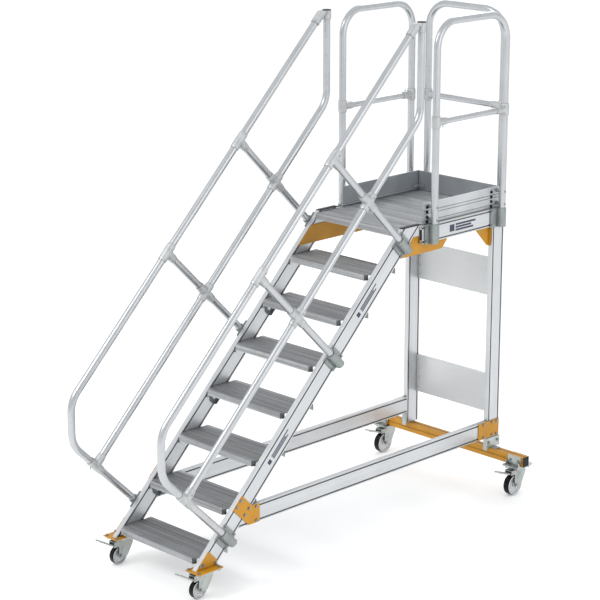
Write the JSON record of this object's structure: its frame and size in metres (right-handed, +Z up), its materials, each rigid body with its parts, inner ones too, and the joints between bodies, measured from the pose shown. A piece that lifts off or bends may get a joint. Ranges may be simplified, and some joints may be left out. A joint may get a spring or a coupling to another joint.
{
  "type": "mobile platform stair",
  "caption": "Rolling warehouse ladder: a 45 degree stair with handrails up to a guarded platform, standing on braked swivel casters.",
  "frame": {"origin": "middle of the footprint, on the floor under the wheels", "axes": "+X to the user's right when climbing, +Y from the stair's foot towards the platform's back, +Z up"},
  "size_m": [1.164, 2.661, 2.7769],
  "materials": {
    "anodised_profile": "satin anodised",
    "anodised_tube": "satin anodised",
    "ribbed_tread": "ribbed mill finish",
    "toe_board": "satin anodised",
    "sheet_aluminium": "satin sheet",
    "cast_alloy": "fine cast grain",
    "dark_strap": "satin",
    "orange_coat": "satin powder coat",
    "zinc_steel": "zinc plated",
    "fork_zinc": "zinc plated",
    "wheel_rim": "moulded",
    "rubber_tread": "smooth glossy rubber",
    "black_plastic": "moulded",
    "bolt_steel": "dark zinc"
  },
  "bodies": {
    "frame": {"stringer_left": "anodised_profile", "stringer_right": "anodised_profile", "step_1": "ribbed_tread", "step_2": "ribbed_tread", "step_3": "ribbed_tread", "step_4": "ribbed_tread", "step_5": "ribbed_tread", "step_6": "ribbed_tread", "step_7": "ribbed_tread", "step_braces": "dark_strap", "platform_deck": "ribbed_tread", "platform_beam_left": "anodised_profile", "platform_beam_right": "anodised_profile", "platform_beam_rear": "anodised_profile", "toe_boards": "toe_board", "base_rail_left": "anodised_profile", "base_rail_right": "anodised_profile", "rear_leg_left": "anodised_profile", "rear_leg_right": "anodised_profile", "crossbeam": "orange_coat", "rear_panels": "sheet_aluminium", "base_plates": "orange_coat", "platform_plates": "orange_coat", "front_caster_brackets": "orange_coat", "crossbeam_brackets": "zinc_steel", "handrail_left": "anodised_tube", "handrail_right": "anodised_tube", "knee_rails": "anodised_tube", "rail_struts": "anodised_tube", "rail_castings": "cast_alloy", "rail_clamps": "cast_alloy", "hoop_left": "anodised_tube", "hoop_right": "anodised_tube", "hoop_rear": "anodised_tube", "hoop_midrails": "anodised_tube", "post_clamps": "cast_alloy", "end_caps": "black_plastic", "frame_bolts": "bolt_steel", "caster_plates": "zinc_steel"},
    "front_left_fork_body": {"front_left_fork": "fork_zinc", "front_left_axle": "bolt_steel"},
    "front_left_wheel_body": {"front_left_rim": "wheel_rim", "front_left_tyre": "rubber_tread"},
    "front_left_pedal_body": {"front_left_pedal": "fork_zinc"},
    "front_right_fork_body": {"front_right_fork": "fork_zinc", "front_right_axle": "bolt_steel"},
    "front_right_wheel_body": {"front_right_rim": "wheel_rim", "front_right_tyre": "rubber_tread"},
    "front_right_pedal_body": {"front_right_pedal": "fork_zinc"},
    "rear_left_fork_body": {"rear_left_fork": "fork_zinc", "rear_left_axle": "bolt_steel"},
    "rear_left_wheel_body": {"rear_left_rim": "wheel_rim", "rear_left_tyre": "rubber_tread"},
    "rear_left_pedal_body": {"rear_left_pedal": "fork_zinc"},
    "rear_right_fork_body": {"rear_right_fork": "fork_zinc", "rear_right_axle": "bolt_steel"},
    "rear_right_wheel_body": {"rear_right_rim": "wheel_rim", "rear_right_tyre": "rubber_tread"},
    "rear_right_pedal_body": {"rear_right_pedal": "fork_zinc"}
  },
  "joints": [
    {"name": "front_left_swivel", "type": "hinge", "parent": "frame", "child": "front_left_fork_body", "pos_m": [-0.314, -1.01655, 0.13], "axis": [0, 0, 1], "continuous": true},
    {"name": "front_left_roll", "type": "hinge", "parent": "front_left_fork_body", "child": "front_left_wheel_body", "pos_m": [-0.314, -1.05455, 0.05], "axis": [1, 0, 0], "continuous": true},
    {"name": "front_left_brake", "type": "hinge", "parent": "front_left_fork_body", "child": "front_left_pedal_body", "pos_m": [-0.314, -1.08655, 0.11], "axis": [1, 0, 0], "range_deg": [0, 25], "stiffness_Nm_per_rad": 0.6, "springref_deg": -20.05},
    {"name": "front_right_swivel", "type": "hinge", "parent": "frame", "child": "front_right_fork_body", "pos_m": [0.314, -1.01655, 0.13], "axis": [0, 0, 1], "continuous": true},
    {"name": "front_right_roll", "type": "hinge", "parent": "front_right_fork_body", "child": "front_right_wheel_body", "pos_m": [0.314, -1.05455, 0.05], "axis": [1, 0, 0], "continuous": true},
    {"name": "front_right_brake", "type": "hinge", "parent": "front_right_fork_body", "child": "front_right_pedal_body", "pos_m": [0.314, -1.08655, 0.11], "axis": [1, 0, 0], "range_deg": [0, 25], "stiffness_Nm_per_rad": 0.6, "springref_deg": -20.05},
    {"name": "rear_left_swivel", "type": "hinge", "parent": "frame", "child": "rear_left_fork_body", "pos_m": [-0.51, 1.24445, 0.155], "axis": [0, 0, 1], "continuous": true},
    {"name": "rear_left_roll", "type": "hinge", "parent": "rear_left_fork_body", "child": "rear_left_wheel_body", "pos_m": [-0.51, 1.20645, 0.0625], "axis": [1, 0, 0], "continuous": true},
    {"name": "rear_left_brake", "type": "hinge", "parent": "rear_left_fork_body", "child": "rear_left_pedal_body", "pos_m": [-0.51, 1.17445, 0.135], "axis": [1, 0, 0], "range_deg": [0, 19], "stiffness_Nm_per_rad": 0.6, "springref_deg": -20.05},
    {"name": "rear_right_swivel", "type": "hinge", "parent": "frame", "child": "rear_right_fork_body", "pos_m": [0.51, 1.24445, 0.155], "axis": [0, 0, 1], "continuous": true},
    {"name": "rear_right_roll", "type": "hinge", "parent": "rear_right_fork_body", "child": "rear_right_wheel_body", "pos_m": [0.51, 1.20645, 0.0625], "axis": [1, 0, 0], "continuous": true},
    {"name": "rear_right_brake", "type": "hinge", "parent": "rear_right_fork_body", "child": "rear_right_pedal_body", "pos_m": [0.51, 1.17445, 0.135], "axis": [1, 0, 0], "range_deg": [0, 19], "stiffness_Nm_per_rad": 0.6, "springref_deg": -20.05}
  ]
}
